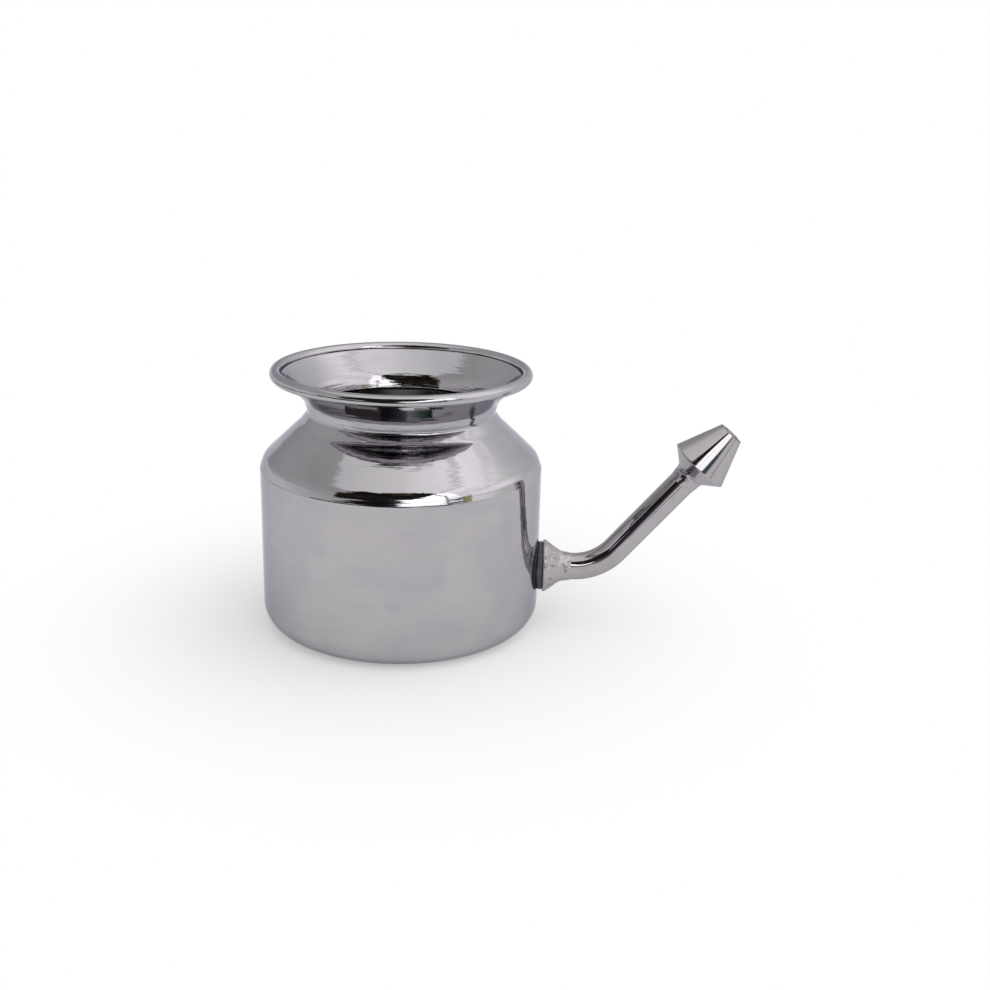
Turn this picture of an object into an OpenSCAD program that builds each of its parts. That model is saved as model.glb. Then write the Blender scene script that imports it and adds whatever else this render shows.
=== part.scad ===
// Neti pot in spun stainless steel, with a bent spout screwed through its wall.
// All sizes are in millimetres. The pot stands on the plane z = 0 with its axis on Z.
// The spout leaves along +X, with its own axis in the plane y = 0.

/* [Pot] */
// Thickness of the sheet that the pot is spun from
sheet_t = 0.5; // [0.4:0.05:0.8]
// Outside diameter of the straight body
body_d = 95; // [88:0.5:105]
// Outside radius of the corner between the base and the wall
base_corner_r = 8; // [4:0.25:12]
// Height at which the straight wall ends in the shoulder's edge
wall_top_z = 55.4; // [50:0.2:57]
// Radius of the shoulder's edge, at the middle of the sheet
shoulder_edge_r = 1.2; // [0.8:0.1:3]
// Slope of the shoulder's first band, in degrees from upright
shoulder_band_angle = 21; // [10:1:30]
// Height of the shoulder's first band
shoulder_band_h = 3.3; // [2:0.1:5]
// Radius that blends the first band into the shoulder's slope
shoulder_blend_r = 6; // [2:0.5:8]

/* [Neck and mouth] */
// Outside diameter of the neck at its narrowest
neck_d = 62.6; // [54:0.2:66]
// Height of the neck's narrowest place
neck_z = 74; // [72:0.2:76]
// Radius of the crease at the neck, at the middle of the sheet
neck_crease_r = 1.45; // [1:0.05:3]
// Height over which the shoulder steepens below the neck
neck_foot_h = 3.6; // [2:0.1:5]
// Slope of the shoulder just below the neck, in degrees from upright
neck_foot_angle = 36.5; // [30:0.5:45]
// Radius that blends the shoulder's slope into the steeper foot of the neck
neck_foot_r = 12; // [4:1:16]
// Height over which the mouth rises steeply above the neck
flare_foot_h = 4.8; // [3:0.1:6]
// Slope of the mouth just above the neck, in degrees from upright
flare_foot_angle = 16; // [8:1:24]
// Radius that opens the mouth into its flare
flare_r = 8; // [4:0.5:10]
// Outside diameter over the rolled rim
mouth_d = 87.1; // [80:0.2:92]
// Height of the pot over the rolled rim
pot_h = 88.9; // [86:0.2:94]
// Diameter of the rolled rim's bead
bead_d = 3.8; // [3.4:0.1:5]
// Radius of the groove inside the bead, at the middle of the sheet
bead_groove_r = 0.8; // [0.6:0.05:1.2]
// Gap between the bead's free edge and the underside of the flare
bead_gap = 0.35; // [0.2:0.05:0.5]

/* [Spout] */
// Height of the spout's axis where it leaves the wall
spout_z = 19.7; // [17:0.1:26]
// Outside diameter of the spout's tube
tube_d = 9.3; // [8:0.1:10]
// Wall of the spout's tube
tube_wall = 0.8; // [0.6:0.1:1.2]
// Level length of the spout, from the flange's face to the bend
level_l = 10.6; // [9.5:0.1:20]
// Radius of the bend, at the middle of the tube
bend_r = 18.9; // [15:0.1:30]
// Angle of the bend, in degrees
bend_angle = 49.3; // [35:0.1:70]
// Straight length of the tube, from the bend to the nozzle's back
slope_l = 36.8; // [30:0.1:50]
// Swelling of the tube's radius where it was bent
bend_swell = 0.02; // [0.01:0.005:0.05]

/* [Flange and stub] */
// Diameter of the flange where it presses on the washer
flange_d = 18; // [17:0.1:20]
// Length of the flange, from its face to its lip
flange_l = 8.6; // [8:0.1:9]
// Width of the flange's round edge
flange_edge_w = 1; // [0.8:0.1:1.4]
// Radius of the flange's edge at its face
flange_edge_r = 0.4; // [0.2:0.1:0.6]
// Radius of the flange's crown, where the edge turns into the cone
flange_crown_r = 0.6; // [0.3:0.1:0.9]
// Length of the cone, from the flange's edge to where it would meet the lip's diameter
flange_cone_l = 5.5; // [5:0.1:6]
// Radius of the hollow between the flange's cone and its lip
flange_hollow_r = 5; // [3:0.5:5.5]
// Depth of the socket that the tube is brazed into
flange_socket = 5; // [3:0.1:7]
// Diameter over the thread of the stub that passes through the wall
stub_d = 10; // [9.5:0.1:10.5]
// Bore of the stub
stub_bore_d = 7; // [6:0.1:7.4]
// Length of the stub that shows past the nut
stub_end_l = 1.2; // [0.5:0.1:3]
// Chamfer on the end of the stub
stub_chamfer = 0.5; // [0.2:0.1:0.8]

/* [Nozzle] */
// Diameter of the nozzle at its widest
nozzle_d = 20.9; // [18:0.1:24]
// Length of the nozzle behind its widest place
nozzle_back_l = 4.4; // [3.5:0.1:6]
// Length of the nozzle in front of its widest place
nozzle_front_l = 15.4; // [12:0.1:20]
// Diameter of the nozzle's tip
tip_d = 8.7; // [8:0.1:10]
// Radius of the nozzle's widest edge
nozzle_edge_r = 0.4; // [0.2:0.1:0.8]
// Radius of the tip's edge
tip_edge_r = 0.4; // [0.2:0.1:0.8]
// Radius of the hollow behind the nozzle
nozzle_hollow_r = 2.5; // [1:0.1:3]
// Length of the collar that sits on the tube behind the nozzle
nozzle_collar_l = 2.2; // [2:0.1:4]
// Depth to which the tube reaches into the nozzle, from where the nozzle starts to widen
nozzle_socket = 5; // [3:0.1:8]
// Bore of the nozzle's outlet
outlet_d = 5; // [4:0.1:6]
// Chamfer where the outlet's bore opens at the tip
outlet_chamfer = 0.4; // [0.2:0.1:0.8]

/* [Washers and nut] */
// Outside diameter of the rubber washers
washer_d = 16.6; // [15:0.1:17]
// Thickness of a washer where it is thinnest
washer_t = 1.5; // [1:0.1:2.5]
// Width across the flats of the nut
nut_flats = 16; // [14:0.5:18]
// Thickness of the nut
nut_t = 4; // [3:0.1:6]
// Chamfer on the corners of the nut, in degrees from its face
nut_chamfer_angle = 30; // [15:1:35]

/* [Clearances] */
// Gap between a washer's curved face and the wall
washer_gap = 0.05; // [0.02:0.01:0.1]
// Gap around the stub in the wall's hole and in the washers, on each side
hole_gap = 0.2; // [0.1:0.05:0.4]
// Gap between the nut's bore and the stub's thread, on each side
thread_gap = 0.05; // [0.02:0.01:0.1]
// Gap that the brazing fills around the tube, on each side
braze_gap = 0.04; // [0.02:0.01:0.08]
// Thickness of a socket's lip at its thin end
lip_t = 0.3; // [0.2:0.05:0.4]

/* [Hidden] */
$fn = 96;

steel = [0.70, 0.69, 0.71];
brushed_steel = [0.64, 0.63, 0.65];
cast_steel = [0.58, 0.56, 0.57];
rubber = [0.30, 0.31, 0.34];

// Largest angle between two neighbouring points of a rounded corner, in degrees
arc_step = 12;
// Length by which a cut runs past the face that it opens
cut = 1;
// Length by which a straight stretch of the tube reaches into the swollen bend
bend_lap = 0.4;

body_r = body_d / 2;
inner_r = body_r - sheet_t;
tube_r = tube_d / 2;
tube_bore_r = tube_r - tube_wall;
stub_r = stub_d / 2;
stub_hole_r = stub_r + hole_gap;
washer_r = washer_d / 2;
socket_r = tube_r + braze_gap;
lip_r = socket_r + lip_t;

// Places along the level part of the spout, as distances from the pot's axis
flange_x = body_r + washer_gap + washer_t;
bend_x = flange_x + level_l;
tube_start_x = flange_x + flange_l - flange_socket;
nut_face_x = sqrt(pow(inner_r - washer_gap, 2) - pow(washer_r, 2)) - washer_t;
nut_end_x = nut_face_x - nut_t;
stub_end_x = nut_end_x - stub_end_l;

// Distance along the spout from the nut's face to the flange's face
clamp_l = flange_x - nut_face_x;

function unit(v) = v / norm(v);
function reversed(list) = [for (i = [len(list) - 1 : -1 : 0]) list[i]];

// Points of an arc about a centre, from one angle to another
function arc(centre, r, from, to) =
    let (steps = max(2, ceil(abs(to - from) / arc_step)))
    [for (i = [0 : steps])
        let (a = from + (to - from) * i / steps)
        centre + r * [cos(a), sin(a)]];

// Rounded corner at b of the path a-b-c, shifted to the left of the path by side
function corner(a, b, c, r, side = 0) =
    let (
        back = unit(a - b),
        ahead = unit(c - b),
        half = acos(back * ahead) / 2,
        centre = b + unit(back + ahead) * r / sin(half),
        first = b + back * r / tan(half) - centre,
        from = atan2(first.y, first.x),
        turn = sign(cross(b - a, c - b)),
        sweep = turn * (180 - 2 * half)
    )
    arc(centre, r - turn * side, from, from + sweep);

// The middle of the pot's sheet, as corners [radius, height] and the radius that rounds each
mid = sheet_t / 2;
wall_mid_r = body_r - mid;
neck_mid_r = neck_d / 2 - mid;
sheet_corners = [
    [0, mid],
    [wall_mid_r, mid],
    [wall_mid_r, wall_top_z],
    [wall_mid_r - shoulder_band_h * tan(shoulder_band_angle), wall_top_z + shoulder_band_h],
    [neck_mid_r + neck_foot_h * tan(neck_foot_angle), neck_z - neck_foot_h],
    [neck_mid_r, neck_z],
    [neck_mid_r + flare_foot_h * tan(flare_foot_angle), neck_z + flare_foot_h],
    [mouth_d / 2 - bead_d / 2, pot_h - bead_d / 2],
];
sheet_radii = [
    0, base_corner_r - mid, shoulder_edge_r, shoulder_blend_r,
    neck_foot_r, neck_crease_r, flare_r, 0,
];

// The bead is centred on the flare: the sheet turns up out of the flare by the groove, then
// curls outwards round the bead's centre until its free edge comes close under the flare.
bead_centre = sheet_corners[7];
bead_mid_r = bead_d / 2 - mid;
flare_dir = unit(sheet_corners[7] - sheet_corners[6]);
flare_angle = atan2(flare_dir.y, flare_dir.x);
flare_left = [-flare_dir.y, flare_dir.x];
groove_turn = acos(bead_groove_r / (bead_groove_r + bead_mid_r));
groove_centre = bead_centre + bead_groove_r * flare_left
    - (bead_groove_r + bead_mid_r) * sin(groove_turn) * flare_dir;
curl_from = flare_angle + 90 + groove_turn;
curl_to = flare_angle - 180 + asin((mid + bead_gap) / (bead_mid_r - mid));

// One face of the sheet: side is the distance to the inside of the pot from the sheet's middle
function sheet_face(side) = concat(
    [sheet_corners[0] + [0, side]],
    [for (i = [1 : 6])
        each corner(sheet_corners[i - 1], sheet_corners[i], sheet_corners[i + 1], sheet_radii[i], side)],
    arc(groove_centre, bead_groove_r - side, flare_angle - 90, flare_angle - 90 + groove_turn),
    arc(bead_centre, bead_mid_r + side, curl_from, curl_to)
);

// Lays a solid that was built along Z on the spout's level axis, starting at x
module along_spout(x) {
    translate([x, 0, spout_z]) rotate([0, 90, 0]) children();
}

// Lays a solid that was built along Z on the spout's sloping axis, starting where the nozzle widens
module along_slope() {
    translate([bend_x, 0, spout_z + bend_r]) rotate([0, -bend_angle, 0])
        translate([slope_l, 0, -bend_r]) rotate([0, 90, 0]) children();
}

// Ring turned about Z, given by its outline as [radius, height]
module turned(outline) {
    rotate_extrude() polygon(outline);
}

// Spun pot: one sheet from the base over the shoulder and neck to the rolled rim
module pot() {
    color(steel) difference() {
        turned(concat(sheet_face(-mid), reversed(sheet_face(mid))));
        along_spout(nut_face_x) cylinder(r = stub_hole_r, h = clamp_l);
    }
}

// Rubber washer outside the wall: curved to the wall on one side, flat on the other
module outer_washer() {
    color(rubber) difference() {
        along_spout(nut_face_x) cylinder(r = washer_r, h = clamp_l);
        cylinder(r = body_r + washer_gap, h = pot_h);
        along_spout(nut_face_x) cylinder(r = stub_hole_r, h = clamp_l + cut);
    }
}

// Rubber washer inside the wall
module inner_washer() {
    color(rubber) difference() {
        intersection() {
            along_spout(nut_face_x) cylinder(r = washer_r, h = clamp_l);
            cylinder(r = inner_r - washer_gap, h = pot_h);
        }
        along_spout(nut_face_x - cut) cylinder(r = stub_hole_r, h = clamp_l + cut);
    }
}

// Flange with its stub: the flange presses on the outer washer, the stub takes the nut
module spout_flange() {
    stub_l = flange_x - stub_end_x;
    cone_end = stub_l + flange_edge_w + flange_cone_l;
    face = [flange_d / 2, stub_l];
    edge = [flange_d / 2, stub_l + flange_edge_w];
    foot = [lip_r, cone_end];
    lip = [lip_r, stub_l + flange_l];
    socket_floor = stub_l + flange_l - flange_socket;
    outline = concat(
        [[stub_bore_d / 2, 0], [stub_r - stub_chamfer, 0], [stub_r, stub_chamfer], [stub_r, stub_l]],
        corner([0, stub_l], face, edge, flange_edge_r),
        corner(face, edge, foot, flange_crown_r),
        corner(edge, foot, lip, flange_hollow_r),
        [lip, [socket_r, lip.y], [socket_r, socket_floor], [stub_bore_d / 2, socket_floor]]
    );
    color(cast_steel) along_spout(stub_end_x) turned(outline);
}

// Hexagonal nut with chamfered corners, on the stub inside the pot
module lock_nut() {
    corner_r = nut_flats / 2 / cos(30);
    drop = (corner_r - nut_flats / 2) * tan(nut_chamfer_angle);
    color(brushed_steel) along_spout(nut_end_x) difference() {
        intersection() {
            cylinder(r = corner_r, h = nut_t, $fn = 6);
            turned([
                [0, 0], [nut_flats / 2, 0], [corner_r, drop],
                [corner_r, nut_t - drop], [nut_flats / 2, nut_t], [0, nut_t],
            ]);
        }
        translate([0, 0, -cut]) cylinder(r = stub_r + thread_gap, h = nut_t + 2 * cut);
    }
}

// Round bar along the tube's path: level, bent, then straight up the slope into the nozzle
module tube_path(r, extra = 0) {
    level_start = tube_start_x - extra;
    slope_start = -slope_l - bend_lap;
    along_spout(level_start) cylinder(r = r, h = bend_x + bend_lap - level_start);
    translate([bend_x, 0, spout_z + bend_r]) rotate([90, 0, 0]) rotate([0, 0, -90])
        rotate_extrude(angle = bend_angle) translate([bend_r, 0]) circle(r = r + bend_swell);
    along_slope() translate([0, 0, slope_start]) cylinder(r = r, h = nozzle_socket + extra - slope_start);
}

// Bent tube of the spout
module spout_tube() {
    color(steel) difference() {
        tube_path(tube_r);
        tube_path(tube_bore_r, cut);
    }
}

// Turned nozzle: two cones that meet in a sharp ring, bored for the tube and the outlet
module nozzle() {
    tip_z = nozzle_back_l + nozzle_front_l;
    collar = [lip_r, -nozzle_collar_l];
    waist = [lip_r, 0];
    widest = [nozzle_d / 2, nozzle_back_l];
    tip = [tip_d / 2, tip_z];
    outlet_edge = [outlet_d / 2 + outlet_chamfer, tip_z];
    outline = concat(
        [[socket_r, -nozzle_collar_l], collar],
        corner(collar, waist, widest, nozzle_hollow_r),
        corner(waist, widest, tip, nozzle_edge_r),
        corner(widest, tip, outlet_edge, tip_edge_r),
        [
            outlet_edge, [outlet_d / 2, tip_z - outlet_chamfer],
            [outlet_d / 2, nozzle_socket], [socket_r, nozzle_socket],
        ]
    );
    color(steel) along_slope() turned(outline);
}

pot();
outer_washer();
inner_washer();
spout_flange();
lock_nut();
spout_tube();
nozzle();
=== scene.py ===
import math

import bmesh
import bpy
from mathutils import Matrix, Vector, noise


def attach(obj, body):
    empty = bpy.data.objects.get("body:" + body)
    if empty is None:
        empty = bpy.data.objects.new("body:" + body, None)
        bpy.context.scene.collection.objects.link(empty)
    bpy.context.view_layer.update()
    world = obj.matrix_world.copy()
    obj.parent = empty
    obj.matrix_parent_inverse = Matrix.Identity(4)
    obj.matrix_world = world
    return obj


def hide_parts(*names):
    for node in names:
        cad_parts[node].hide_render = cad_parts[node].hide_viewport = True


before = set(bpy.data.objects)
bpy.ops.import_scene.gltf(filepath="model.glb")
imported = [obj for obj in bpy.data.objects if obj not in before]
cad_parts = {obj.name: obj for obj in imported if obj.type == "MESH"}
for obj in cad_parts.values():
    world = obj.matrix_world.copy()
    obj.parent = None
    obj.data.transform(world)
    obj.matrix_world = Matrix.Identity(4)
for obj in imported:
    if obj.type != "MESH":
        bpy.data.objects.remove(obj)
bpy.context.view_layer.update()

# The pot: one disc of stainless steel, 0.5 mm thick, spun over a form into a straight body, a shoulder,
# a neck and a flared mouth. The edge of the sheet is curled outwards into a bead. Spinning and
# polishing leave fine rings around its axis. The inside below the neck is rougher, and its colour is
# darkened as painted shade.
MM = 0.001
sheet_t = 0.5 * MM
body_r = 47.5 * MM
base_corner_r = 8 * MM
wall_top = 55.4 * MM
shoulder_edge_r = 1.2 * MM
shoulder_band_slope = math.radians(21)
shoulder_band_h = 3.3 * MM
shoulder_blend_r = 6 * MM
neck_r = 31.3 * MM
neck_h = 74 * MM
neck_crease_r = 1.45 * MM
neck_foot_h = 3.6 * MM
neck_foot_slope = math.radians(36.5)
neck_foot_r = 12 * MM
flare_foot_h = 4.8 * MM
flare_foot_slope = math.radians(16)
flare_r = 8 * MM
mouth_r = 43.55 * MM
pot_h = 88.9 * MM
bead_r = 1.9 * MM
bead_groove_r = 0.6 * MM
bead_drop = 0.75 * MM
bead_gap = 0.35 * MM
spout_h = 19.7 * MM
stub_hole_r = 5.2 * MM
hole_cut_x = 42 * MM
hole_cut_l = 8 * MM
half_sheet = sheet_t / 2
ring_depth = 0.042 * MM
mouth_ring_depth = 0.068 * MM
rings_start, rings_full = wall_top - 2 * MM, wall_top + 3 * MM
wall_rings = 0.3
crease_h = neck_h - 4 * MM
crease_far, crease_near = 6 * MM, 3.5 * MM
crease_rings = 0.12
clean_steel, dull_steel = (0.46, 0.442, 0.462), (0.38, 0.365, 0.39)
# The inside colours are darker than the outside's: painted shade inside the pot.
clean_inside_shaded, dull_inside_shaded = (0.33, 0.32, 0.32), (0.26, 0.25, 0.25)
steel_edge = (0.66, 0.66, 0.71, 1)


def arc(centre, radius, start, end, step=3):
    """Points of an arc of an outline, from one angle to another in degrees."""
    count = max(2, math.ceil(abs(end - start) / step))
    turns = [math.radians(start + (end - start) * i / count) for i in range(count + 1)]
    return [centre + radius * Vector((math.cos(a), math.sin(a))) for a in turns]


def rounded(before, at, after, radius, side=0.0, step=3):
    """The arc that rounds the corner at, moved to the left of the outline by side."""
    back, ahead = (before - at).normalized(), (after - at).normalized()
    half = back.angle(ahead) / 2
    centre = at + (back + ahead).normalized() * radius / math.sin(half)
    first = at + back * radius / math.tan(half) - centre
    start = math.degrees(math.atan2(first.y, first.x))
    turn = math.copysign(1, (at - before).cross(after - at))
    sweep = turn * (180 - 2 * math.degrees(half))
    return arc(centre, radius - turn * side, start, start + sweep, step)


def joined(stretches, near=0.15 * MM, longest=1.5 * MM):
    """One outline from arcs and points. The straights between them are divided, closely at their ends."""
    outline = list(stretches[0])
    for stretch in stretches[1:]:
        start, end = outline[-1], stretch[0]
        length = (end - start).length
        if length > 3 * near:
            count = math.ceil((length - 2 * near) / longest)
            inner = length - 2 * near
            outline += [start.lerp(end, (near + inner * i / count) / length) for i in range(count + 1)]
        outline += stretch if length > 0.001 * MM else stretch[1:]
    return outline


def skinned(rings, closed=True):
    """Mesh that joins rings of points, each to the next. A ring is a loop, or one point on the axis."""
    mesh = bmesh.new()
    loops = [[mesh.verts.new(spot) for spot in ring] for ring in rings]
    for low, high in list(zip(loops, loops[1:])) + ([(loops[-1], loops[0])] if closed else []):
        around = max(len(low), len(high))
        for k in range(around):
            n = (k + 1) % around
            corners = [low[k % len(low)], low[n % len(low)], high[n % len(high)], high[k % len(high)]]
            mesh.faces.new(list(dict.fromkeys(corners)))
    return mesh


def ring_at(r, z, around):
    """Points of a ring about Z, or the one point where the ring has no radius."""
    turns = [math.tau * k / around for k in range(around)]
    return [(r * math.cos(a), r * math.sin(a), z) for a in turns] if r > 0.001 * MM else [(0, 0, z)]


def turned(outline, around=192, closed=True):
    """Mesh of an outline of (radius, height) turned about Z."""
    return skinned([ring_at(r, z, around) for r, z in outline], closed)


def piece(name, mesh, place=Matrix(), sharp=35):
    """Object from a mesh, smooth but for edges that turn by more than sharp degrees."""
    bmesh.ops.recalc_face_normals(mesh, faces=mesh.faces)
    data = bpy.data.meshes.new(name)
    mesh.to_mesh(data)
    mesh.free()
    data.shade_smooth()
    data.set_sharp_from_angle(angle=math.radians(sharp))
    made = bpy.data.objects.new(name, data)
    made.matrix_world = place
    bpy.context.scene.collection.objects.link(made)
    return made


def sheet_face(side):
    """One face of the pot's sheet: side is its distance to the inside from the middle of the sheet."""
    wall_r, throat_r = body_r - half_sheet, neck_r - half_sheet
    corners = [
        Vector((0, half_sheet)),
        Vector((wall_r, half_sheet)),
        Vector((wall_r, wall_top)),
        Vector((wall_r - shoulder_band_h * math.tan(shoulder_band_slope), wall_top + shoulder_band_h)),
        Vector((throat_r + neck_foot_h * math.tan(neck_foot_slope), neck_h - neck_foot_h)),
        Vector((throat_r, neck_h)),
        Vector((throat_r + flare_foot_h * math.tan(flare_foot_slope), neck_h + flare_foot_h)),
    ]
    bead = Vector((mouth_r - bead_r, pot_h - bead_r))
    flare_slope = math.atan2(bead.y - corners[6].y, bead.x - corners[6].x)
    left = Vector((-math.sin(flare_slope), math.cos(flare_slope)))
    corners.append(bead + bead_drop * left)
    radii = [
        base_corner_r - half_sheet, shoulder_edge_r, shoulder_blend_r, neck_foot_r, neck_crease_r, flare_r,
    ]
    bends = [rounded(*corners[i : i + 3], radius, side) for i, radius in enumerate(radii)]
    along = (corners[7] - corners[6]).normalized()
    slope = math.degrees(math.atan2(along.y, along.x))
    curl_r = bead_r - half_sheet
    turn = math.degrees(math.acos((bead_groove_r + bead_drop) / (bead_groove_r + curl_r)))
    groove_l = (bead_groove_r + curl_r) * math.sin(math.radians(turn))
    groove = corners[7] + bead_groove_r * left - groove_l * along
    end = slope - 180 + math.degrees(math.asin((half_sheet + bead_gap - bead_drop) / (curl_r - half_sheet)))
    return joined([
        [corners[0] + Vector((0, side))],
        *bends,
        arc(groove, bead_groove_r - side, slope - 90, slope - 90 + turn, 6),
        arc(bead, curl_r + side, slope + 90 + turn, end, 5),
    ])


def along_spout(x):
    """Place for a mesh built along Z: on the level part of the spout, starting at x."""
    return Matrix.Translation((x, 0, spout_h)) @ Matrix.Rotation(math.radians(90), 4, "Y")


def without(made, cutter_mesh, place, sharp=35):
    """made with the cutter taken out of it."""
    cutter = piece("cutter", cutter_mesh, place)
    cut = made.modifiers.new("hole", "BOOLEAN")
    cut.operation, cut.solver, cut.object = "DIFFERENCE", "EXACT", cutter
    data = bpy.data.meshes.new_from_object(made.evaluated_get(bpy.context.evaluated_depsgraph_get()))
    made.modifiers.clear()
    made.data = data
    data.name = made.name
    data.set_sharp_from_angle(angle=math.radians(sharp))
    bpy.data.objects.remove(cutter)


def add(tree, kind, inputs=None, **settings):
    """Adds a shader node. An input's value is a number, a colour or another node's output."""
    made = tree.nodes.new("ShaderNode" + kind)
    for name, value in settings.items():
        setattr(made, name, value)
    for name, value in (inputs or {}).items():
        if isinstance(value, bpy.types.NodeSocket):
            tree.links.new(value, made.inputs[name])
        else:
            made.inputs[name].default_value = value
    return made


def math_node(tree, operation, *values):
    """A sum, product or other result of numbers and outputs."""
    return add(tree, "Math", dict(enumerate(values)), operation=operation).outputs[0]


def soft_step(tree, value, start, end):
    """A share that rises from 0 at start to 1 at end, or falls if end is the lower."""
    low, high = min(start, end), max(start, end)
    rising = {0: value, 1: low, 2: high, 3: float(start > end), 4: float(start < end)}
    return add(tree, "MapRange", rising, interpolation_type="SMOOTHSTEP").outputs[0]


def mask_group(name, inputs, outputs):
    """A node group with number inputs and outputs, and its inner ends."""
    tree = bpy.data.node_groups.new(name, "ShaderNodeTree")
    for label, value in inputs.items():
        socket = tree.interface.new_socket(name=label, in_out="INPUT", socket_type="NodeSocketFloat")
        socket.default_value = value
    for label in outputs:
        tree.interface.new_socket(name=label, in_out="OUTPUT", socket_type="NodeSocketFloat")
    return tree, tree.nodes.new("NodeGroupInput").outputs, tree.nodes.new("NodeGroupOutput").inputs


def make_ring_marks():
    """Marks that a tool leaves around the Z axis: fine rings, and wider ones between 0 and 1."""
    tree, given, result = mask_group("ring_marks", {"Marks per metre": 3000, "Wander": 3}, ["Fine", "Wide"])
    spot = add(tree, "TexCoord").outputs["Object"]
    flat = add(tree, "VectorMath", {0: spot, 1: (1, 1, 0)}, operation="MULTIPLY").outputs[0]
    radius = add(tree, "VectorMath", {0: flat}, operation="LENGTH").outputs["Value"]
    outward = add(tree, "VectorMath", {0: flat}, operation="NORMALIZE").outputs[0]
    wandered = add(tree, "VectorMath", {0: outward, "Scale": given["Wander"]}, operation="SCALE").outputs[0]
    height = add(tree, "SeparateXYZ", {0: spot}).outputs["Z"]
    for label, share in (("Fine", 1), ("Wide", 0.28)):
        count = math_node(tree, "MULTIPLY", given["Marks per metre"], share)
        climb = add(tree, "CombineXYZ", {"Z": math_node(tree, "MULTIPLY", height, count)}).outputs[0]
        vector = add(tree, "VectorMath", {0: wandered, 1: climb}, operation="ADD").outputs[0]
        reach = math_node(tree, "MULTIPLY", radius, count)
        rings = add(
            tree, "TexNoise", {"Vector": vector, "W": reach, "Scale": 1, "Detail": 2, "Roughness": 0.6},
            noise_dimensions="4D",
        )
        tree.links.new(rings.outputs[0], result[label])
    return tree


def make_smudges():
    """Faint patches left by hands and cloths, between 0 and 1."""
    tree, given, result = mask_group("smudges", {"Patches per metre": 40}, ["Smudge"])
    shape = {"Scale": given["Patches per metre"], "Detail": 4, "Roughness": 0.55, "Distortion": 0.6}
    patches = add(tree, "TexNoise", {"Vector": add(tree, "TexCoord").outputs["Object"], **shape})
    tree.links.new(soft_step(tree, patches.outputs[0], 0.38, 0.68), result["Smudge"])
    return tree


def grouped(tree, group, inputs):
    """Places a node group in a material."""
    made = tree.nodes.new("ShaderNodeGroup")
    made.node_tree = group
    for name, value in inputs.items():
        made.inputs[name].default_value = value
    return made.outputs


def between(tree, share, low, high):
    """A number from low to high by a share from 0 to 1."""
    return add(tree, "MapRange", {0: share, 3: low, 4: high}).outputs[0]


def shaded(tree, share, dark, light):
    """A colour from dark to light by a share from 0 to 1."""
    mixed = add(tree, "Mix", data_type="RGBA")
    tree.links.new(share, mixed.inputs[0])
    mixed.inputs[6].default_value, mixed.inputs[7].default_value = (*dark, 1), (*light, 1)
    return mixed.outputs[2]


def surface(name, constants):
    """A new material, with its shader and node tree."""
    made = bpy.data.materials.new(name)
    made.use_nodes = True
    shader = made.node_tree.nodes["Principled BSDF"]
    for socket, value in constants.items():
        shader.inputs[socket].default_value = value
    return made, made.node_tree, shader


ring_marks, smudges = make_ring_marks(), make_smudges()


def make_spun_steel(name, clean, dull, smooth, rough, depth):
    """The sheet's steel. Its rings are deep above the wall, where it was drawn in, and faint at the neck."""
    steel, tree, shader = surface(name, {"Metallic": 1, "Specular Tint": steel_edge})
    marks = grouped(tree, ring_marks, {"Marks per metre": 1400, "Wander": 2.5})
    smudge = grouped(tree, smudges, {"Patches per metre": 45})["Smudge"]
    dulled = math_node(tree, "MULTIPLY_ADD", smudge, 0.45, math_node(tree, "MULTIPLY", marks["Wide"], 0.55))
    tree.links.new(between(tree, dulled, smooth, rough), shader.inputs["Roughness"])
    tree.links.new(shaded(tree, dulled, clean, dull), shader.inputs["Base Color"])
    spot = add(tree, "TexCoord").outputs["Object"]
    height = add(tree, "SeparateXYZ", {0: spot}).outputs["Z"]
    above_wall = between(tree, soft_step(tree, height, rings_start, rings_full), wall_rings, 1)
    from_crease = math_node(tree, "ABSOLUTE", math_node(tree, "SUBTRACT", height, crease_h))
    in_crease = soft_step(tree, from_crease, crease_far, crease_near)
    ring_share = math_node(tree, "MULTIPLY", above_wall, between(tree, in_crease, 1, crease_rings))
    rings = math_node(tree, "MULTIPLY_ADD", marks["Wide"], 1.8, marks["Fine"])
    rings = math_node(tree, "MULTIPLY", rings, ring_share)
    dents = add(tree, "TexNoise", {"Vector": spot, "Scale": 150, "Detail": 2})
    relief = math_node(tree, "MULTIPLY_ADD", dents.outputs[0], 1.2, rings)
    bump = add(tree, "Bump", {"Strength": 1, "Distance": depth, "Height": relief})
    tree.links.new(bump.outputs[0], shader.inputs["Normal"])
    return steel


outline = sheet_face(-half_sheet) + sheet_face(half_sheet)[::-1]
pot = piece("pot_spun", turned(outline, closed=False))
hole_outline = [(0, 0), (stub_hole_r, 0), (stub_hole_r, hole_cut_l), (0, hole_cut_l)]
stub_hole = joined([[Vector(spot)] for spot in hole_outline])
without(pot, turned(stub_hole, 96, closed=False), along_spout(hole_cut_x))
pot.data.materials.append(make_spun_steel("spun_steel", clean_steel, dull_steel, 0.04, 0.1, ring_depth))
# The inside steel is darker in colour: painted shade.
pot.data.materials.append(
    make_spun_steel("spun_steel_inside_shaded", clean_inside_shaded, dull_inside_shaded, 0.14, 0.26, ring_depth)
)
pot.data.materials.append(
    make_spun_steel("spun_steel_mouth", clean_steel, dull_steel, 0.04, 0.1, mouth_ring_depth)
)
pot_middle = Vector((0, 0, body_r))
inner_face, mouth_face = 1, 2
for face in pot.data.polygons:
    if face.center.z > neck_h:
        if face.normal.z > 0 and face.center.xy.length < mouth_r - 2 * bead_r:
            face.material_index = mouth_face
    elif face.normal.dot(face.center - pot_middle) < 0:
        face.material_index = inner_face
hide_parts("pot")
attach(pot, "root")

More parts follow.
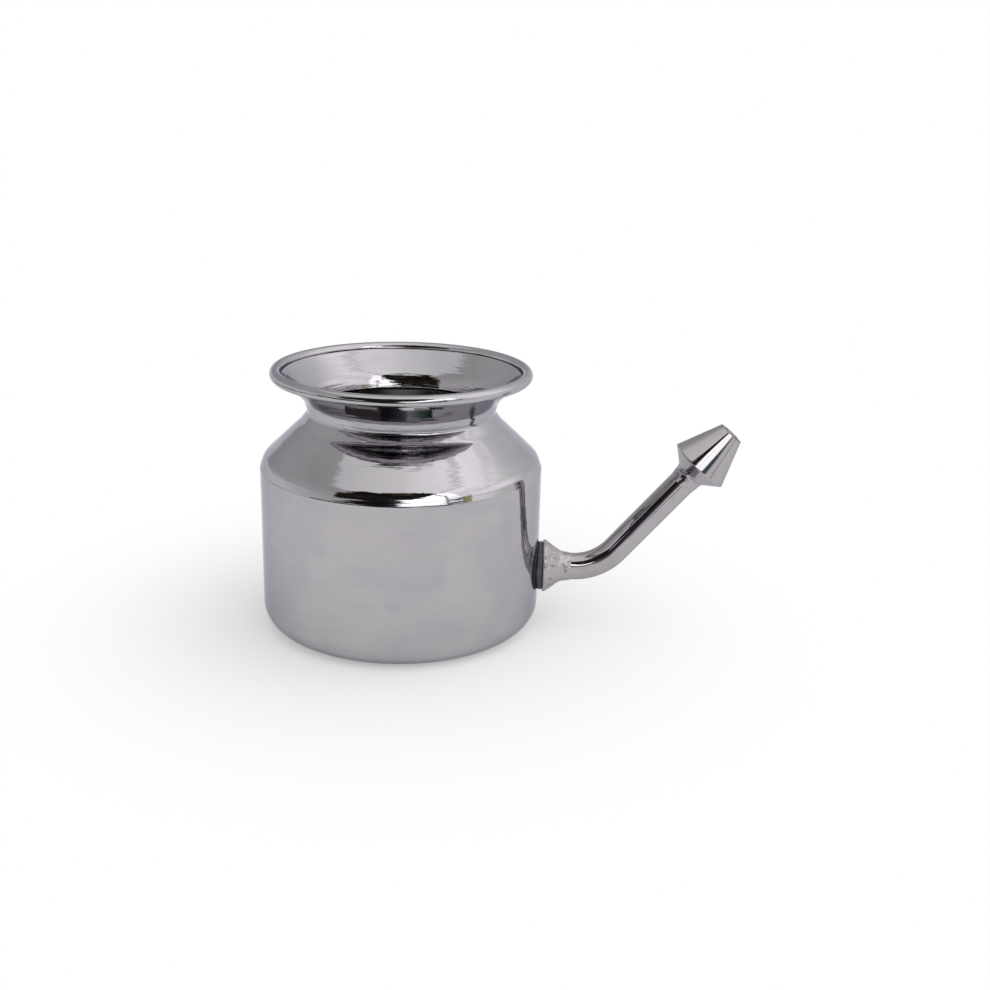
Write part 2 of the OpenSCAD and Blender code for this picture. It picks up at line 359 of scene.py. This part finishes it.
# The two washers: rings of dark rubber, one on each side of the wall. The nut squeezes them, so their
# round sides bulge a little and each takes the wall's curve on the face that lies on it.
washer_r = 8.3 * MM
washer_bulge = 0.08 * MM
washer_corner_r = 0.3 * MM
washer_half_t = 0.35 * MM
washer_gap = 0.05 * MM
flange_x = 49.05 * MM
flange_to_nut = 4.339 * MM
nut_face_x = flange_x - flange_to_nut


def washer_half():
    """Half of a washer's section as (radius, depth below its face), from its hole to its bulging side."""
    inner = arc(Vector((stub_hole_r + washer_corner_r, washer_corner_r)), washer_corner_r, 180, 270, 30)
    outer = arc(Vector((washer_r - washer_corner_r, washer_corner_r)), washer_corner_r, 270, 360, 30)
    return joined([inner, outer], longest=0.6 * MM) + [outer[-1] + Vector((washer_bulge, washer_half_t))]


def washer(name, wall_r, flat_x, outward, around=144):
    """A rubber ring between the wall's curve and a flat face, outward 1 or -1 by the side of the wall."""
    half = washer_half()
    section = [(r, depth, True) for r, depth in half] + [(r, depth, False) for r, depth in half[::-1]]
    rings = []
    for k in range(around):
        a = math.tau * k / around
        ring = []
        for r, depth, on_wall in section:
            y = r * math.cos(a)
            x = math.sqrt(wall_r**2 - y**2) + outward * depth if on_wall else flat_x - outward * depth
            ring.append((x, y, spout_h + r * math.sin(a)))
        rings.append(ring)
    return piece(name, skinned(rings), sharp=60)


def make_washer_rubber():
    rubber, tree, shader = surface("washer_rubber", {"Specular IOR Level": 0.35})
    spot = add(tree, "TexCoord").outputs["Object"]
    grain = add(tree, "TexNoise", {"Vector": spot, "Scale": 2600, "Detail": 3, "Roughness": 0.6}).outputs[0]
    smudge = grouped(tree, smudges, {"Patches per metre": 220})["Smudge"]
    colour = shaded(tree, smudge, (0.05, 0.053, 0.062), (0.082, 0.086, 0.1))
    tree.links.new(colour, shader.inputs["Base Color"])
    tree.links.new(between(tree, grain, 0.42, 0.62), shader.inputs["Roughness"])
    bump = add(tree, "Bump", {"Strength": 0.5, "Distance": 0.02 * MM, "Height": grain})
    tree.links.new(bump.outputs[0], shader.inputs["Normal"])
    return rubber


washer_rubber = make_washer_rubber()
for name, wall_r, flat_x, outward in (
    ("outer_washer", body_r + washer_gap, flange_x, 1),
    ("inner_washer", body_r - sheet_t - washer_gap, nut_face_x, -1),
):
    ring = washer(f"{name}_ring", wall_r, flat_x, outward)
    ring.data.materials.append(washer_rubber)
    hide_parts(name)
    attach(ring, "root")

# The flange and its stub: one steel casting. The stub is threaded and passes through the wall and both
# washers. The cone behind the flange holds the tube, which is brazed in. The casting is left rough, with
# pits and lumps of braze round its lip.
flange_r = 9 * MM
flange_edge_w = 1 * MM
flange_edge_r = 0.4 * MM
flange_crown_r = 0.6 * MM
flange_cone_l = 5.5 * MM
flange_hollow_r = 5 * MM
flange_l = 8.6 * MM
flange_socket = 5 * MM
tube_r = 4.65 * MM
tube_wall = 0.8 * MM
braze_gap = 0.04 * MM
braze_t = 0.12 * MM
braze_start, braze_top, braze_end = -0.6 * MM, 0.9 * MM, 1.5 * MM
socket_r = tube_r - 0.1 * MM
lip_t = 0.3 * MM
stub_r = 5 * MM
stub_bore_r = 3.5 * MM
stub_chamfer = 0.5 * MM
thread_pitch = 1 * MM
thread_depth = 0.35 * MM
thread_steepness = 2.6
thread_crest = 0.15
nut_t = 4 * MM
stub_past_nut = 1.2 * MM
stub_end_x = nut_face_x - nut_t - stub_past_nut
stub_l = flange_x - stub_end_x
lip_r = tube_r + braze_gap + lip_t
cast_start, cast_fade = 0.3 * MM, 2 * MM
cast_lump_h, cast_lump_l = 0.15 * MM, 1.9 * MM
braze_lump_h, braze_lump_l, braze_reach = 0.2 * MM, 1.3 * MM, 2.2 * MM
cast_pits = [((-2.7, -7.4, 1.6), 1.1, 0.45), ((-1.1, -5.6, 3.2), 0.9, 0.35), ((-2.9, -4.4, 4.2), 1.1, 0.4)]


def lumps(spot, apart):
    """Unevenness of a casting at a spot, about -1 to 1: lumps that far apart, and smaller ones on them."""
    small = noise.noise(Vector(spot) * 2.3 / apart + Vector((7, 3, 5)))
    return noise.noise(Vector(spot) / apart) + 0.5 * small


def cast_ring(r, z, around):
    """A ring of the flange, uneven where the casting shows. The pits are (place, radius, depth) in mm."""
    rough = min(1, max(0, (z - stub_l - cast_start) / cast_fade))
    braze = max(0, 1 - abs(z - stub_l - flange_l) / braze_reach)
    ring = []
    for x, y, _ in ring_at(r, z, around):
        swell = rough * cast_lump_h * lumps((x, y, z), cast_lump_l)
        swell += braze * braze_lump_h * lumps((x, y, z), braze_lump_l)
        for pit, pit_r, depth in cast_pits:
            near = (Vector((x, y, z - stub_l)) - Vector(pit) * MM).length / (pit_r * MM)
            swell -= depth * MM * max(0, 1 - near**2)
        share = 1 + swell / r
        ring.append((x * share, y * share, z))
    return ring


def threaded_ring(z, around):
    """A ring of the stub, cut by its thread."""
    ring = []
    for k, (x, y, _) in enumerate(ring_at(1, z, around)):
        height = (z / thread_pitch - k / around) % 1
        cut = thread_depth * min(1, max(0, thread_steepness * abs(height - 0.5) - thread_crest))
        r = min(stub_r - cut, stub_r - stub_chamfer + z)
        ring.append((x * r, y * r, z))
    return ring


def make_flange(around=144):
    face, edge = Vector((flange_r, stub_l)), Vector((flange_r, stub_l + flange_edge_w))
    foot, lip = Vector((lip_r, edge.y + flange_cone_l)), Vector((lip_r, stub_l + flange_l))
    outside = joined([
        [Vector((stub_r, stub_l))],
        rounded(Vector((0, stub_l)), face, edge, flange_edge_r, step=20),
        rounded(face, edge, foot, flange_crown_r, step=12),
        rounded(edge, foot, lip, flange_hollow_r),
        [Vector((lip_r, lip.y + braze_start)), Vector((tube_r + braze_t, lip.y + braze_top))],
        [Vector((tube_r - braze_t, lip.y + braze_end))],
    ], longest=0.4 * MM)
    steps = math.floor(stub_l / (thread_pitch / 10))
    thread = [threaded_ring(stub_l * i / steps, around) for i in range(steps)]
    step_z = stub_l + flange_l - flange_socket
    bore = [(socket_r, step_z), (stub_bore_r, step_z), (stub_bore_r, 0)]
    inside = [ring_at(r, z, around) for r, z in bore]
    return skinned(thread + [cast_ring(r, z, around) for r, z in outside] + inside)


def make_cast_steel():
    steel, tree, shader = surface("cast_steel", {"Metallic": 1, "Specular Tint": steel_edge})
    spot = add(tree, "TexCoord").outputs["Object"]
    grain = add(tree, "TexNoise", {"Vector": spot, "Scale": 1300, "Detail": 5, "Roughness": 0.6}).outputs[0]
    swells = add(tree, "TexNoise", {"Vector": spot, "Scale": 420, "Detail": 2, "Roughness": 0.5}).outputs[0]
    pits = add(tree, "TexVoronoi", {"Vector": spot, "Scale": 300, "Randomness": 1}, feature="SMOOTH_F1")
    off_pit = soft_step(tree, pits.outputs[0], 0.04, 0.24)
    # The colour is darker in the pits: painted shade in the pits.
    colour = shaded(tree, off_pit, (0.12, 0.105, 0.095), (0.42, 0.40, 0.405))
    tree.links.new(colour, shader.inputs["Base Color"])
    tree.links.new(between(tree, grain, 0.02, 0.24), shader.inputs["Roughness"])
    relief = math_node(tree, "MULTIPLY_ADD", swells, 2.5, grain)
    relief = math_node(tree, "MULTIPLY_ADD", off_pit, 0.8, relief)
    bump = add(tree, "Bump", {"Strength": 0.9, "Distance": 0.2 * MM, "Height": relief})
    tree.links.new(bump.outputs[0], shader.inputs["Normal"])
    return steel


flange = piece("spout_flange_casting", make_flange(), along_spout(stub_end_x), sharp=50)
flange.data.materials.append(make_cast_steel())
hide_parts("spout_flange")
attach(flange, "root")

# The lock nut: a hexagonal steel nut with chamfered corners. It sits on the stub inside the pot and pulls
# the flange and both washers against the wall. It is seen only through the mouth.
nut_flat = 8 * MM
nut_bore_r = 5.05 * MM
nut_bore_chamfer = 0.3 * MM
nut_face_r = nut_flat - 0.05 * MM
nut_chamfer_slope = math.radians(30)


def make_nut(around=120):
    """Six flats whose corners are cut by a cone at each face."""
    corner = nut_flat / math.cos(math.radians(30))
    reach = []
    for k in range(around):
        off_flat = (k * 360 / around + 30) % 60 - 30
        reach.append(min(corner, nut_flat / math.cos(math.radians(off_flat))))
    drop = [(r - nut_flat) * math.tan(nut_chamfer_slope) for r in reach]
    low = [(r * x, r * y, d) for r, d, (x, y, _) in zip(reach, drop, ring_at(1, 0, around))]
    high = [(x, y, nut_t - z) for x, y, z in low]
    wide, chamfer = nut_bore_r + nut_bore_chamfer, nut_bore_chamfer
    bore = [(wide, nut_t), (nut_bore_r, nut_t - chamfer), (nut_bore_r, chamfer), (wide, 0)]
    return skinned([
        ring_at(nut_face_r, 0, around), low, high, ring_at(nut_face_r, nut_t, around),
        *[ring_at(r, z, around) for r, z in bore],
    ])


def make_nut_steel():
    steel, tree, shader = surface("nut_steel", {"Metallic": 1, "Specular Tint": steel_edge})
    marks = grouped(tree, ring_marks, {"Marks per metre": 5000, "Wander": 2})
    smudge = grouped(tree, smudges, {"Patches per metre": 160})["Smudge"]
    colour = shaded(tree, smudge, (0.36, 0.35, 0.36), (0.42, 0.41, 0.425))
    tree.links.new(colour, shader.inputs["Base Color"])
    tree.links.new(between(tree, marks["Wide"], 0.2, 0.4), shader.inputs["Roughness"])
    bump = add(tree, "Bump", {"Strength": 1, "Distance": 0.01 * MM, "Height": marks["Fine"]})
    tree.links.new(bump.outputs[0], shader.inputs["Normal"])
    return steel


nut = piece("lock_nut_hexagon", make_nut(), along_spout(nut_face_x - nut_t), sharp=25)
nut.data.materials.append(make_nut_steel())
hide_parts("lock_nut")
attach(nut, "root")

# The spout's tube: a polished steel tube, brazed into the flange. It leaves the pot level, is bent up and
# runs straight into the nozzle.
bend_x = flange_x + 10.6 * MM
bend_r = 18.9 * MM
bend_angle = 49.3
bend_swell = 0.02 * MM
slope_l = 36.8 * MM
nozzle_socket = 5 * MM


def tube_line(level_steps=6, bend_steps=24, slope_steps=24):
    """Stations along the tube's middle: x, z, direction in degrees above level, and swell."""
    start_x = flange_x + flange_l - flange_socket
    level_l, slope_end = bend_x - start_x, slope_l + nozzle_socket
    stations = [(start_x + level_l * i / level_steps, spout_h, 0, 0) for i in range(level_steps)]
    for i in range(bend_steps + 1):
        turn = bend_angle * i / bend_steps
        a = math.radians(turn)
        swell = bend_swell * math.sin(math.pi * i / bend_steps)
        stations.append((bend_x + bend_r * math.sin(a), spout_h + bend_r * (1 - math.cos(a)), turn, swell))
    x, z, turn, _ = stations[-1]
    for i in range(1, slope_steps + 1):
        d = slope_end * i / slope_steps
        stations.append((x + d * math.cos(a), z + d * math.sin(a), turn, 0))
    return stations


def tube_ring(station, radius, around):
    x, z, turn, swell = station
    a, r = math.radians(turn), radius + swell
    ring = []
    for k in range(around):
        b = math.tau * k / around
        up = r * math.sin(b)
        ring.append((x - up * math.sin(a), r * math.cos(b), z + up * math.cos(a)))
    return ring


def make_tube(around=96):
    stations = tube_line()
    outside = [tube_ring(station, tube_r, around) for station in stations]
    inside = [tube_ring(station, tube_r - tube_wall, around) for station in stations[::-1]]
    return skinned(outside + inside)


def make_polished_steel():
    steel, tree, shader = surface("polished_steel", {"Metallic": 1, "Specular Tint": steel_edge})
    smudge = grouped(tree, smudges, {"Patches per metre": 130})["Smudge"]
    tree.links.new(between(tree, smudge, 0.05, 0.13), shader.inputs["Roughness"])
    colour = shaded(tree, smudge, (0.415, 0.395, 0.41), (0.375, 0.355, 0.37))
    tree.links.new(colour, shader.inputs["Base Color"])
    spot = add(tree, "TexCoord").outputs["Object"]
    waves = add(tree, "TexNoise", {"Vector": spot, "Scale": 260, "Detail": 2, "Roughness": 0.5}).outputs[0]
    bump = add(tree, "Bump", {"Strength": 1, "Distance": 0.02 * MM, "Height": waves})
    tree.links.new(bump.outputs[0], shader.inputs["Normal"])
    return steel


tube = piece("spout_tube_bent", make_tube(), sharp=50)
tube.data.materials.append(make_polished_steel())
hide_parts("spout_tube")
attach(tube, "root")

# The nozzle: two cones turned from one steel bar, which meet in a sharp ring. Its collar is soldered
# on the tube, and its tip is bored for the water.
nozzle_r = 10.45 * MM
nozzle_back_l = 4.4 * MM
nozzle_tip_h = 19.8 * MM
tip_r = 4.35 * MM
nozzle_edge_r = 0.4 * MM
nozzle_hollow_r = 2.5 * MM
collar_l = 2.2 * MM
outlet_r = 2.5 * MM
outlet_chamfer = 0.4 * MM
seam_depth = 0.18 * MM
end_face_t = 0.24 * MM
# The end face's near-black colour is painted shade on bare steel.
end_face_shade = (0.07, 0.07, 0.075)


def make_nozzle():
    collar, waist = Vector((lip_r, -collar_l)), Vector((lip_r, 0))
    widest, tip = Vector((nozzle_r, nozzle_back_l)), Vector((tip_r, nozzle_tip_h))
    outlet = Vector((outlet_r + outlet_chamfer, nozzle_tip_h))
    hollow = rounded(collar, waist, widest, nozzle_hollow_r)
    for spot in hollow:
        spot.x -= seam_depth * max(0, 1 - abs(spot.y) / seam_depth)
    solder = [
        (socket_r, -2.6 * MM), (tube_r + 0.02 * MM, -2 * MM),
        (lip_r - 0.1 * MM, -0.4 * MM), (lip_r, 0.4 * MM),
    ]
    return turned(joined([
        [Vector((r, z - collar_l)) for r, z in solder],
        hollow,
        rounded(waist, widest, tip, nozzle_edge_r, step=15),
        rounded(widest, tip, outlet, nozzle_edge_r, step=15),
        [outlet],
        [Vector((outlet_r, nozzle_tip_h - outlet_chamfer))],
        [Vector((outlet_r, nozzle_socket))],
        [Vector((socket_r, nozzle_socket))],
    ]), 160)


def make_turned_steel():
    steel, tree, shader = surface("turned_steel", {"Metallic": 1, "Specular Tint": steel_edge})
    marks = grouped(tree, ring_marks, {"Marks per metre": 5000, "Wander": 1.5})
    smudge = grouped(tree, smudges, {"Patches per metre": 110})["Smudge"]
    dulled = math_node(tree, "MULTIPLY_ADD", smudge, 0.5, math_node(tree, "MULTIPLY", marks["Wide"], 0.5))
    tree.links.new(between(tree, dulled, 0.05, 0.13), shader.inputs["Roughness"])
    height = add(tree, "SeparateXYZ", {0: add(tree, "TexCoord").outputs["Object"]}).outputs["Z"]
    # The end face is painted near black: painted shade.
    on_end_face = math_node(tree, "GREATER_THAN", height, nozzle_tip_h - end_face_t)
    clean = shaded(tree, dulled, (0.42, 0.40, 0.42), (0.385, 0.365, 0.385))
    colour = add(tree, "Mix", {0: on_end_face, 6: clean, 7: (*end_face_shade, 1)}, data_type="RGBA")
    tree.links.new(colour.outputs[2], shader.inputs["Base Color"])
    bump = add(tree, "Bump", {"Strength": 1, "Distance": 0.003 * MM, "Height": marks["Fine"]})
    tree.links.new(bump.outputs[0], shader.inputs["Normal"])
    return steel


slope_start = (
    Matrix.Translation((bend_x, 0, spout_h + bend_r))
    @ Matrix.Rotation(math.radians(-bend_angle), 4, "Y")
    @ Matrix.Translation((slope_l, 0, -bend_r))
    @ Matrix.Rotation(math.radians(90), 4, "Y")
)
nozzle = piece("nozzle_double_cone", make_nozzle(), slope_start)
nozzle.data.materials.append(make_turned_steel())
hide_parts("nozzle")
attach(nozzle, "root")

# The studio: a white floor under a broad ceiling light, brighter on the right and dimmer on the left. A
# large white light, dark cards and small coloured ones hang in front of the pot, and dark mats lie on the
# floor beyond the picture. They show only in the steel, which takes its look from them.
floor_r = 3
floor_white = 0.9
glow_start, glow_full = 0.045, 0.15
glow_at_pot = 0.3
widest_lean = 1.6
brightest = 2
ceiling_lights = [
    (-1.6, 0.62), (-1.0, 0.54), (-0.69, 0.56), (-0.64, 1.0), (-0.4, 1.02), (0, 1.17), (0.22, 1.36),
    (0.45, 1.48), (0.49, 1.45), (0.52, 1.1), (0.57, 1.1), (0.61, 1.6), (0.83, 1.6), (0.9, 1.3), (0.96, 1.4),
    (1.03, 1.7), (1.12, 1.2), (1.22, 1.15), (1.3, 1.5), (1.38, 1.2), (1.6, 1.5),
]
behind_left, behind_right = 0.6, 0.92
low_front_light = 0.85
horizon_light = 1.0
card_view = Vector((0, -45, 60)) * MM
card_y = -0.2
card_step = 1 * MM
mat_h = 0.2 * MM
white = (1, 1, 1)
near_black = (0.012, 0.011, 0.009)
warm_streak = (0.16, 0.13, 0.07)
dark_teal = (0.06, 0.11, 0.11)
olive = (0.5, 0.45, 0.22)
front_grey, left_grey = (0.42, 0.41, 0.42), (0.45, 0.44, 0.45)
low_bands = [
    (-0.2, (0.1, 0.09, 0.085)), (-0.076, (0.1, 0.09, 0.085)), (-0.066, (0.03, 0.025, 0.03)),
    (-0.03, (0.02, 0.02, 0.03)), (0, (0.07, 0.07, 0.1)), (0.025, (0.14, 0.14, 0.18)),
    (0.044, (0.5, 0.5, 0.52)), (0.056, (0.34, 0.42, 0.37)), (0.09, (0.15, 0.27, 0.18)),
    (0.13, (0.08, 0.12, 0.09)), (0.16, (0.03, 0.04, 0.03)),
]


def make_floor():
    """White paper. The camera and the steel see it glow, less so close to the pot, where its shadow shows."""
    floor = piece("floor", skinned([[(0, 0, 0)], ring_at(floor_r, 0, 96)], closed=False))
    colour = (floor_white, floor_white, floor_white, 1)
    constants = {"Base Color": colour, "Roughness": 0.8, "Specular IOR Level": 0}
    paper, tree, shader = surface("floor_paper", constants)
    ray = add(tree, "LightPath").outputs
    seen = math_node(tree, "MAXIMUM", ray["Is Camera Ray"], ray["Is Glossy Ray"])
    seen = math_node(tree, "MAXIMUM", seen, ray["Is Transmission Ray"])
    glow = add(tree, "Emission", {"Color": (1, 1, 1, 1), "Strength": 1}).outputs[0]
    from_pot = add(tree, "VectorMath", {0: add(tree, "TexCoord").outputs["Object"]}, operation="LENGTH")
    far = soft_step(tree, from_pot.outputs["Value"], glow_start, glow_full)
    share = math_node(tree, "MULTIPLY", seen, between(tree, far, glow_at_pot, 1))
    both = add(tree, "MixShader", {0: share, 1: shader.outputs[0], 2: glow}).outputs[0]
    tree.links.new(both, tree.nodes["Material Output"].inputs[0])
    floor.data.materials.append(paper)
    return floor


def mixed_light(tree, share, first, second):
    """The first light where the share is 0, and the second where it is 1."""
    return add(tree, "Mix", {0: share, 2: first, 3: second}).outputs[0]


def make_world():
    """Light by direction. Over the pot it goes by how far a direction leans to the right, x over z."""
    world = bpy.data.worlds.new("studio")
    world.use_nodes = True
    bpy.context.scene.world = world
    tree = world.node_tree
    x, y, z = add(tree, "SeparateXYZ", {0: add(tree, "TexCoord").outputs["Generated"]}).outputs
    lean = math_node(tree, "DIVIDE", x, math_node(tree, "MAXIMUM", z, 0.05))
    across = add(tree, "MapRange", {0: lean, 1: -widest_lean, 2: widest_lean}).outputs[0]
    ceiling = add(tree, "FloatCurve", {"Value": across})
    curve = ceiling.mapping.curves[0]
    for k, (at, light) in enumerate(ceiling_lights):
        spot = ((at + widest_lean) / (2 * widest_lean), light / brightest)
        if k in (0, len(ceiling_lights) - 1):
            curve.points[-1 if k else 0].location = spot
        else:
            curve.points.new(*spot)
    for point in curve.points:
        point.handle_type = "VECTOR"
    ceiling.mapping.update()
    light = math_node(tree, "MULTIPLY", ceiling.outputs[0], brightest)
    # Behind the pot the light is even and dimmer on the left. Low in front it nears that of the floor.
    behind = mixed_light(tree, soft_step(tree, x, -0.2, 0.4), behind_left, behind_right)
    light = mixed_light(tree, soft_step(tree, y, 0.1, 0.7), light, behind)
    low_front = math_node(tree, "MULTIPLY", soft_step(tree, z, 0.34, 0.14), soft_step(tree, y, 0.75, 0.25))
    light = mixed_light(tree, low_front, light, low_front_light)
    light = mixed_light(tree, soft_step(tree, z, 0.15, 0.11), light, horizon_light)
    tree.links.new(light, tree.nodes["Background"].inputs["Color"])
    tree.nodes["Background"].inputs["Strength"].default_value = 1


def banded(tree, spot, bands):
    """A colour that goes along X through the bands, given as (x, colour)."""
    first, last = bands[0][0], bands[-1][0]
    x = add(tree, "SeparateXYZ", {0: spot}).outputs["X"]
    ramp = add(tree, "ValToRGB", {0: add(tree, "MapRange", {0: x, 1: first, 2: last}).outputs[0]})
    for _ in bands[2:]:
        ramp.color_ramp.elements.new(1)
    for stop, (at, band) in zip(ramp.color_ramp.elements, bands):
        stop.position, stop.color = (at - first) / (last - first), (*band, 1)
    return ramp.outputs[0]


def streaked(tree, spot, colour, streak):
    """A colour with slanting streaks of another."""
    slanted = add(tree, "Mapping", {"Vector": spot, "Rotation": (0, 0.6, 0), "Scale": (6, 1, 30)}).outputs[0]
    lines = add(tree, "TexNoise", {"Vector": slanted, "Scale": 1, "Detail": 3, "Roughness": 0.6}).outputs[0]
    return shaded(tree, soft_step(tree, lines, 0.5, 0.68), colour, streak)


def unseen(name, spots, colour, strength=1.0, streak=None, bands=None):
    """A flat glowing shape that shows only in the steel. It may have streaks, or bands along X."""
    mesh = bmesh.new()
    mesh.faces.new([mesh.verts.new(spot) for spot in spots])
    made = piece(name, mesh)
    paint = bpy.data.materials.new(name)
    paint.use_nodes = True
    tree = paint.node_tree
    glow = add(tree, "Emission", {"Color": (*colour, 1), "Strength": strength})
    at = add(tree, "TexCoord").outputs["Object"]
    if bands:
        tree.links.new(banded(tree, at, bands), glow.inputs["Color"])
    if streak:
        tree.links.new(streaked(tree, at, colour, streak), glow.inputs["Color"])
    tree.links.new(glow.outputs[0], tree.nodes["Material Output"].inputs[0])
    made.data.materials.append(paint)
    made.visible_camera = made.visible_diffuse = made.visible_shadow = False
    return made


def card(name, corners, ragged, layer, colour, **paint):
    """A card in front of the pot. Its corners are directions from the shoulder, as azimuth and height in
    degrees, and its edges wander by some degrees. The higher its layer, the nearer it hangs to the pot."""
    edge = []
    y = card_y + layer * card_step
    reach = card_view.y - y
    for (azimuth, height), (next_azimuth, next_height) in zip(corners, corners[1:] + corners[:1]):
        for i in range(12):
            a = azimuth + (next_azimuth - azimuth) * i / 12
            h = height + (next_height - height) * i / 12
            spot = Vector((a, h, 5)) / 5
            a = math.radians(a + ragged * noise.noise(spot))
            h = math.radians(h + ragged * noise.noise(spot + Vector((7, 3, 5))))
            x, z = card_view.x + reach * math.tan(a), card_view.z + reach * math.tan(h) / math.cos(a)
            edge.append((x, y, z))
    return unseen(name, edge, colour, **paint)


def mat(name, x_low, x_high, y_low, y_high, colour):
    """A mat on the floor, outside the picture."""
    corners = [(x_low, y_low), (x_high, y_low), (x_high, y_high), (x_low, y_high)]
    return unseen(name, [(x, y, mat_h) for x, y in corners], colour)


make_floor()
card("window", [
        (4, 21.5), (1, 14), (4, 6), (18, 3), (24, 18), (44, 18), (46, 40), (46, 51), (40, 44), (33, 37),
        (24, 30), (15, 23),
    ], 0.8, 0, white, strength=2.8)
card("window_right", [
        (46, 19), (56, 19), (57, 36), (57, 48), (47, 51), (47, 39),
    ], 0.6, 0, white, strength=2.4)
card("dark_left", [
        (-54, 16), (-10, 17), (4, 19), (6, 22), (15, 24), (24, 30), (32, 37), (38.5, 44), (43, 50),
        (40, 55), (31, 59), (10, 63), (-18, 62), (-46, 56), (-55, 34),
    ], 1.6, 1, near_black, streak=warm_streak)
card("window_bar", [(37, 46), (39.5, 46), (47.5, 18), (45, 18)], 0.5, 2, near_black)
card("low", [
        (-72, -13), (12, -13), (15, -2), (30, -2), (34, -8), (50, -8), (46, 12), (20, 14), (9, 14), (2, 18),
        (-12, 18), (-28, 17), (-30, 8), (-72, 8),
    ], 0.8, 3, near_black, bands=low_bands)
card("teal", [(43, 8), (62, 8), (61, 15), (56, 17.5), (45, 18)], 0.8, 4, dark_teal)
card("olive", [(58, 15), (66, 15), (65, 19), (58, 19)], 0.8, 4, olive)
mat("mat_front", -0.9, 0.9, -0.44, -0.25, front_grey)
mat("mat_left", -0.9, -0.28, -0.25, 0.25, left_grey)
make_world()

# The camera stands in front of the pot, a little above it, and looks down on it as the photo does. It is
# turned by small angles: to the left, down from level, and about its own line of sight.
camera_place = (0.0350, -0.4112, 0.1783)
camera_turn, camera_down, camera_roll = 0.425, 17.974, 1.515
camera_lens, camera_film_w = 45.91, 36
camera = bpy.data.objects.new("camera", bpy.data.cameras.new("camera"))
camera.data.lens = camera_lens
camera.data.sensor_width = camera_film_w
camera.matrix_world = (
    Matrix.Translation(camera_place)
    @ Matrix.Rotation(math.radians(camera_turn), 4, "Z")
    @ Matrix.Rotation(math.radians(90 - camera_down), 4, "X")
    @ Matrix.Rotation(math.radians(camera_roll), 4, "Z")
)
bpy.context.scene.collection.objects.link(camera)
bpy.context.scene.camera = camera
bpy.context.scene.view_settings.view_transform = "Standard"
